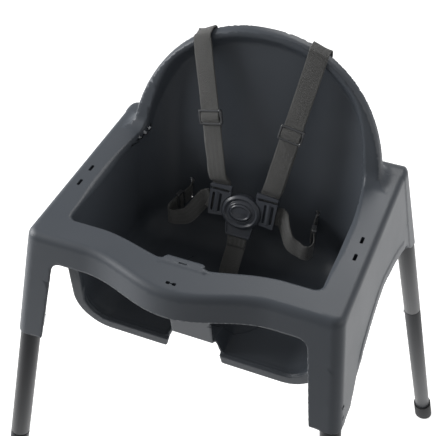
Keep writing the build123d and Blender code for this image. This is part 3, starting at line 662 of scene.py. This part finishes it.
def ribbon(name, points, across, width, thickness, material, step=2.5, wave=0.25):
    """Flat webbing along a smooth line through points in millimetres, its wide side along across."""
    line, wide = curve_through(points, across, step)
    ring = ribbon_section()
    verts, uvs = [], []
    run = 0.0
    for i, q in enumerate(line):
        along = (line[min(i + 1, len(line) - 1)] - line[max(i - 1, 0)]).normalized()
        side = (wide[i] - along * wide[i].dot(along)).normalized()
        normal = side.cross(along)
        if i:
            run += (q - line[i - 1]).length
        sway = wave * math.sin(run * 0.11 + 1.3) * min(1, i / 4, (len(line) - 1 - i) / 4)
        for s, h in ring:
            bow = 0.25 * (1 - s * s) * thickness
            verts.append(q + side * (s * width / 2) + normal * (h * thickness + bow + sway * s * s))
            uvs.append((s * width / 2 * MM + 0.05, run * MM))
    faces = tube_faces(len(line), len(ring))
    obj = mesh_object(name, [v * MM for v in verts], faces, material, None, uvs)
    bm = bmesh.new()
    bm.from_mesh(obj.data)
    bmesh.ops.recalc_face_normals(bm, faces=bm.faces)
    bm.to_mesh(obj.data)
    bm.free()
    return obj


def smooth_edges(obj, width, segments=2, angle=40):
    """Rounded edges on a CAD node, as modifiers that leave its mesh alone."""
    weld = obj.modifiers.new("weld", "WELD")
    weld.merge_threshold = 1e-5
    bevel = obj.modifiers.new("bevel", "BEVEL")
    bevel.width = width
    bevel.segments = segments
    bevel.limit_method = "ANGLE"
    bevel.angle_limit = math.radians(angle)
    bevel.harden_normals = True


def paint(node, material):
    """Give a CAD node its material."""
    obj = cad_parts[node]
    obj.data.materials.clear()
    obj.data.materials.append(material)
    return obj


# ---- buckle, in its own frame: X right, Y up its face, Z out of it -------------------------------------
LEAN = math.radians(22)          # the buckle's lean towards the backrest
BUCKLE_AT = (0, 30.5, 624.3)
BUCKLE = Matrix(((1, 0, 0, 0), (0, math.sin(LEAN), -math.cos(LEAN), 0), (0, math.cos(LEAN), math.sin(LEAN), 0),
                 (0, 0, 0, 1)))
BUCKLE.translation = BUCKLE_AT


def oval(x, y, a, b):
    """Signed distance to an ellipse, good near its edge."""
    near = np.hypot(x / a, y / b)
    return near * (near - 1) / np.maximum(np.hypot(x / a ** 2, y / b ** 2), 1e-4)


def bump_at(value, centre, half, height):
    """A rounded ridge."""
    return height * np.exp(-((value - centre) / half) ** 2)


def buckle_body_field(x, y, z):
    """Oval cover with ring-shaped ridges, its tab for the crotch strap, and the channel for the tongues."""
    x = np.abs(x)
    edge = oval(x, y, 26.5, 23.0)
    top = 4.3 + bump_at(edge, -3.6, 1.7, 1.6) - bump_at(edge, -6.4, 0.8, 0.7) + bump_at(edge, -10.6, 1.3, 1.1)
    disc = meet(edge, z - top, 1.6)
    disc = meet(disc, -2.4 - z, 0.8)
    taper = (x - (17 + (y + 35) * 0.13)) / 1.01
    tab = meet(meet(taper, -35.2 - y, 2.5), y + 6, 0.5)
    tab = meet(tab, np.abs(z) - 2.4, 0.8)
    cup = meet(taper + 2.2, -32.6 - y, 1.5)
    tab = np.maximum(tab, -meet(cup, 1.3 - z, 0.6))
    cover = join(disc, tab, 1.0)
    hole = oval(x, y, 15.7, 11.7)
    cover = meet(cover, -hole, 0.5)
    mouth = meet(x - 14.0, np.abs(z + 0.8) - 1.7, 0.5)
    cover = np.maximum(cover, -np.maximum(mouth, y + 25.5))
    return np.maximum(cover, -np.maximum(np.abs(z) - 1.9, np.maximum(15 - x, np.abs(y - 4) - 15.2)))


def release_field(x, y, z):
    """Oval release button: a domed rim round a shallow dish."""
    edge = oval(x, y, 15.2, 11.2)
    top = 5.6 + bump_at(edge, -2.2, 1.2, 1.3) + 0.9 * np.clip(-(edge + 5) / 7, 0, 1)
    return meet(meet(edge, z - top, 0.8), 0.8 - z, 0.3)


def wing_field(x, y, z):
    """Right-hand tongue: a horned plate with a slot under its top bar and two upright slots."""
    ring = -oval(x, y, 27.2, 23.7)
    plate = meet(x - (47.3 - 0.035 * np.abs(y - 29)), y - (31.6 - 0.07 * (x - 19)), 2.2)
    plate = meet(plate, -(y + 11.5) - 0.12 * (x - 28), 2.0)
    plate = np.maximum(plate, 17.2 - x)
    scoop = -oval(x, y - 49, 22.5, 25.5)
    plate = meet(plate, scoop, 0.8)
    thick = 2.0 + 1.0 * np.clip((y - 24) / 2, 0, 1) + bump_at(x, 36, 2.2, 1.3) * (np.abs(y - 6) < 14)
    body = meet(plate, np.maximum(z - thick, -2.0 - z), 0.7)
    body = np.maximum(body, ring)
    for middle in (31.2, 41.0):
        slot = meet(np.abs(x - middle) - 1.55, np.abs(y - 5.5) - 12.5, 1.0)
        body = meet(body, -slot, 0.5)
    strap = meet(np.abs(x - 33.5) - 13.2, np.abs(y - 23.6) - 1.5, 0.8)
    body = meet(body, -strap, 0.4)
    tab = meet(meet(np.abs(x - 24.3) - 5.3, np.abs(y - 4) - 12.6, 1.5), np.abs(z) - 1.4, 0.4)
    return np.minimum(body, tab)


# ---- webbing slides, in their own frame: X along the strap, Y out of it, Z across it -------------------
def slide_field(height, width):
    """Field of a slide: a rounded loop, two cheeks and a middle bar."""
    def field(x, y, z):
        outer = meet(np.abs(x) - height / 2, np.abs(z) - width / 2, 2.6)
        window = meet(np.abs(x) - height / 2 + 3.0, np.abs(z) - width / 2 + 2.6, 1.2)
        loop = meet(meet(outer, -window, 1.0), np.abs(y - 1.5) - 1.5, 1.0)
        cheeks = meet(meet(outer, width / 2 - 2.4 - np.abs(z), 0.5), np.abs(y) - 3.0, 1.0)
        middle = np.maximum(np.hypot(x, y + 2.35) - 1.25, np.abs(z) - width / 2 + 1)
        return np.minimum(join(loop, cheeks, 0.6), middle)
    return field


def strap_frame(origin, run, front):
    """Matrix with X along the strap, Z across it and Y towards the front, in millimetres."""
    x = Vector(run).normalized()
    z = x.cross(Vector(front)).normalized()
    y = z.cross(x)
    made = Matrix((x, y, z)).transposed().to_4x4()
    made.translation = origin
    return made


# ---- the pieces --------------------------------------------------------------------------------------
def make_shell(material):
    """The moulding, with its slots and keyholes cut through the meshed field."""
    shell = field_object("moulded_shell", shell_field, (-226.0, -222.0, 508.0), (226.0, 176.0, 862.0),
                         SHELL_STEP, SHELL_ADAPTIVITY, material)
    cutters = []
    for side in (-1, 1):
        for y in TRAY_SLOTS:
            cutters.append(slot_cutter((side * TRAY_SLOT_X, y, ARM + 1), (4.0, 11.5, 22), 1.2))
        hole = side * STRAP_HOLE
        cutters.append(slot_cutter((hole, BACK_MIDDLE, KEYHOLE), (4.0, 60, 30), 1.6))
        cutters.append(slot_cutter((hole, BACK_MIDDLE, KEYHOLE + 15), (7.2, 60, 7.2), 3.4))
    for x in (-3.7, 3.7):
        cutters.append(slot_cutter((x, RAIL_SLOT, ARM + 1), (4.6, 4.2, 22), 1.0))
    cutters.append(slot_cutter((0, RAIL_SLOT, ARM + 1), (4, 1.4, 10), 0.4))
    cutters.append(slot_cutter((0, -158.5, ARM + 0.2), (10, 2.6, 2.4), 0.6))
    cutters.append(slot_cutter((0, PAN_SLOT, PAN), (30, 6, 24), 2.0))
    for cutter in cutters:
        cut = shell.modifiers.new("cut", "BOOLEAN")
        cut.operation = "DIFFERENCE"
        cut.solver = "EXACT"
        cut.object = cutter
    bpy.context.view_layer.update()
    made = bpy.data.meshes.new_from_object(shell.evaluated_get(bpy.context.evaluated_depsgraph_get()))
    shell.modifiers.clear()
    shell.data = made
    for cutter in cutters:
        bpy.data.objects.remove(cutter)
    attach(shell, "root")
    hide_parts("seat_shell")
    return shell


def slot_cutter(centre, size, radius):
    """Bar with rounded edges, used to cut a slot."""
    bm = bmesh.new()
    bmesh.ops.create_cube(bm, size=1)
    bmesh.ops.scale(bm, vec=Vector(size) * MM, verts=bm.verts)
    bmesh.ops.bevel(bm, geom=list(bm.edges), offset=radius * MM, segments=3, affect="EDGES", profile=0.5)
    bmesh.ops.translate(bm, vec=Vector(centre) * MM, verts=bm.verts)
    data = bpy.data.meshes.new("cutter")
    bm.to_mesh(data)
    bm.free()
    return link(bpy.data.objects.new("cutter", data))


def arch_top(x):
    """Height of the backrest's outline."""
    return BACK_CENTRE + BACK_HIGH * (1 - abs(x / BACK_HALF) ** BACK_POWER) ** (1 / BACK_POWER)


def on_buckle(x, y, z):
    """A point given in the buckle's frame."""
    return BUCKLE @ Vector((x, y, z))


def behind_back(x, z, gap):
    """A point a little behind the backrest."""
    return Vector((x, back_face(z - ARM) + WALL * 1.05 + gap, z))


def make_shoulder_strap(side_name, side, web):
    """One strap: from behind the backrest over the rim, down through the slide and round the tongue's bar."""
    x = side * STRAP_APART + STRAP_SHIFT
    top = arch_top(x)
    lip = rim_face(top - ARM)
    tongue = on_buckle(side * 35, 27, 4.2)
    rim = Vector((x, lip - 3, top - 2))
    run = (rim - tongue).normalized()
    wide = run.cross(Vector((0, -1, 0))).normalized()
    front = wide.cross(run)
    if front.y > 0:
        front = -front
    tilt = Vector((2, 0, arch_top(x + 1) - arch_top(x - 1))).normalized()
    if tilt.dot(wide) < 0:
        wide = -wide
    flat = Vector((1, 0, 0))
    reach = (rim - tongue).length
    points = [on_buckle(side * 33.5, 21, -3.6), on_buckle(side * 33.7, 28, -3.9),
              on_buckle(side * 34.2, 33.6, -2.0), tongue + run * 14 - front * 0.6]
    across = [flat, flat, flat, wide]
    for share in (0.2, 0.35, 0.5, 0.65, 0.8, 0.93):
        points.append(tongue + run * (reach * share))
        across.append(wide)
    crest = Vector((x, lip, top))
    points += [crest + Vector((0, -2.6, -0.4)), crest + Vector((0, 0.6, 2.2)), crest + Vector((0, 7, 3.4)),
               crest + Vector((0, 15.5, 1.6))]
    across += [tilt] * 4
    points += [behind_back(x, top - 8, 3.0), behind_back(x, top - 22, 1.6), behind_back(x, top - 48, 1.2)]
    across += [flat] * 3
    strap = ribbon(f"shoulder_webbing_{side_name}", points, across, STRAP_WIDE, STRAP_THICK, web)
    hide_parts(f"shoulder_strap_{side_name}")
    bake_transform(strap)
    # the webbing's free end comes back up behind it to the slide
    back = -front * 2.1
    slant = wide * (1.3 * side)
    middle = tongue + run * 55 + back
    lower = ribbon(f"return_webbing_{side_name}",
                   [on_buckle(side * 34, 30, -4.8), on_buckle(side * 34.4, 34.5, -3.6),
                    tongue + run * 18 + back + slant, tongue + run * 36 + back + slant, middle + slant],
                   [flat, flat, wide, wide, wide], STRAP_WIDE, RETURN_THICK, web)
    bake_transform(lower)
    upper = ribbon(f"return_webbing_top_{side_name}",
                   [middle + slant, tongue + run * 70 + back + slant, tongue + run * 84 + back,
                    tongue + run * 93 + back * 1.1],
                   [wide] * 4, STRAP_WIDE, RETURN_THICK, web)
    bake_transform(upper)
    return tongue, run, front


def make_slide(name, body, node, centre, run, front, height, width, material, web):
    """Webbing slide with the roll of webbing over its middle bar."""
    place = strap_frame(centre, run, front)
    end = width / 2 + 2
    slide = field_object(name, slide_field(height, width), (-13.0, -5.5, -end), (13.0, 5.5, end), FINE_STEP,
                         FINE_ADAPTIVITY, material, place)
    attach(slide, body)
    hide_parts(node)
    wide = place.to_3x3() @ Vector((0, 0, 1))
    half = height / 2 - 3.2
    rise = ((1, 1.2), (0.75, 2.2), (0.35, 3.3), (0, 3.6))
    local = [(-half * share, y) for share, y in rise] + [(half * share, y) for share, y in rise[-2::-1]]
    points = [place @ Vector((x, y, 0)) for x, y in local]
    roll = ribbon(name + "_roll", points, [wide] * len(local), width - 6.4, RETURN_THICK, web, step=1.0,
                  wave=0)
    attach(roll, body)


def make_waist_strap(side_name, side, web):
    """From its keyhole forward through the slide, a slack fold, and back to the tongue's outer bar."""
    up = Vector((0, 0, 1))
    x, z = side * STRAP_HOLE, WAIST
    face_up = BUCKLE.to_3x3() @ Vector((0, 1, 0))
    points = [(x, 80, z), (x, 66, z), (x + side * 2.5, 56, z), (x + side * 10, 30, z),
              (x + side * 11, 22, z - 0.5), (x + side * 8, 15, z - 1), (x + side * 2, 13.5, z - 1),
              (x - side * 6, 15.5, z), (x - side * 20, 20, z + 6)]
    across = [up] * 7 + [up + face_up * 0.3, up + face_up]
    points += [tuple(on_buckle(side * 54, 4.5, -4.5)), tuple(on_buckle(side * 47.5, 5, -4.2)),
               tuple(on_buckle(side * 41, 5.5, -3.6))]
    across += [face_up] * 3
    strap = ribbon(f"waist_webbing_{side_name}", points, across, 24, STRAP_THICK, web, step=2.0)
    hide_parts(f"waist_strap_{side_name}")
    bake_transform(strap)


def make_crotch_strap(web):
    """From the buckle's tab down through the pan, with the end sewn back on itself."""
    flat = Vector((1, 0, 0))
    points = [on_buckle(0, -27, -0.8), on_buckle(0, -38, -0.9), on_buckle(0, -48, -2.2), Vector((0, -9, 560)),
              Vector((0, -19, 544)), Vector((0, PAN_SLOT, 536)), Vector((0, PAN_SLOT, 522))]
    strap = ribbon("crotch_webbing", points, [flat] * 7, CROTCH_WIDE, STRAP_THICK, web)
    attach(strap, "root")
    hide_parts("crotch_strap")
    sewn = [on_buckle(0, -36, 0.8), on_buckle(0, -42, 0.8), on_buckle(0, -50, 0.0)]
    fold = ribbon("crotch_webbing_fold", sewn, [flat] * 3, CROTCH_WIDE, 1.4, web, wave=0)
    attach(fold, "root")


def make_pan_ring(material):
    """Thin moulded line on the seat pan, most of a circle."""
    section = ((-0.7, -0.5), (-0.35, 0.45), (0.35, 0.45), (0.7, -0.5))
    count = 120
    verts = []
    for i in range(count + 1):
        a = math.radians(-215 + 250 * i / count)
        for out, up in section:
            x = (RING_R + out) * math.cos(a)
            y = RING_AT + (RING_R + out) * math.sin(a)
            height, _ = pan_height(abs(x), y)
            verts.append((x * MM, y * MM, (float(height) + up) * MM))
    n = len(section)
    faces = [tuple(range(n)), tuple(count * n + k for k in range(n))[::-1]]
    for i in range(count):
        for k in range(n):
            j = (k + 1) % n
            faces.append((i * n + k, (i + 1) * n + k, (i + 1) * n + j, i * n + j))
    ring = mesh_object("pan_ring", verts, faces, material)
    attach(ring, "root")


def paint_nodes(plastic, steel):
    """Materials and softened edges for the CAD nodes that stay visible."""
    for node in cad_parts:
        if "leg_" in node:
            smooth_edges(paint(node, plastic["leg_plastic"]), 0.0006)
        elif node.startswith("foot_cap"):
            smooth_edges(paint(node, plastic["foot_rubber"]), 0.0015, 3)
        elif node.startswith(("snap_", "socket_screws", "buckle_screws", "buckle_spring")) or "anchor" in node:
            paint(node, steel)
        elif node == "buckle_back":
            smooth_edges(paint(node, plastic["buckle_plastic"]), 0.0008)


def make_buckle(material):
    """Cover and release button."""
    cover = field_object("buckle_cover", buckle_body_field, (-30.0, -38.0, -5.0), (30.0, 26.0, 9.0), FINE_STEP,
                         FINE_ADAPTIVITY, material, BUCKLE)
    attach(cover, "root")
    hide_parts("buckle_front")
    release = field_object("buckle_release", release_field, (-17.0, -13.0, -1.0), (17.0, 13.0, 9.5), FINE_STEP,
                           FINE_ADAPTIVITY, material, BUCKLE)
    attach(release, "buckle_button")
    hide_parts("buckle_button")


def make_tongue(side_name, side, material):
    """One of the buckle's two tongues."""
    wing = field_object(f"buckle_wing_{side_name}", wing_field, (15.0, -15.0, -4.0), (50.0, 37.0, 6.0),
                        FINE_STEP, FINE_ADAPTIVITY, material, BUCKLE, mirror=side < 0, symmetric=False)
    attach(wing, f"buckle_tongue_{side_name}")
    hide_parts(f"buckle_tongue_{side_name}")


def main():
    """Build the whole picture."""
    stage()
    camera()
    plastic = {name: moulded(name, *values) for name, values in MOULDED.items()}
    steel = metal("steel", (0.62, 0.62, 0.63), 0.28)
    web = webbing_material()
    make_shell(plastic["shell_plastic"])
    paint_nodes(plastic, steel)
    make_buckle(plastic["buckle_plastic"])
    for side_name, side in (("left", -1), ("right", 1)):
        make_tongue(side_name, side, plastic["buckle_plastic"])
        tongue, run, front = make_shoulder_strap(side_name, side, web)
        adjuster = f"shoulder_adjuster_{side_name}"
        make_slide(f"shoulder_slide_{side_name}", adjuster, adjuster, tongue + run * 95, run, front, 20, 31.5,
                   plastic["slide_plastic"], web)
        make_waist_strap(side_name, side, web)
        direction = Vector((side * 10, -36, 0))
        middle = Vector((side * STRAP_HOLE, 66, WAIST)) + direction * 0.5
        adjuster = f"waist_adjuster_{side_name}"
        make_slide(f"waist_slide_{side_name}", adjuster, adjuster, middle, direction, Vector((-side, 0, 0)),
                   14, 30.5, plastic["slide_plastic"], web)
    make_crotch_strap(web)
    make_pan_ring(plastic["shell_plastic"])


main()
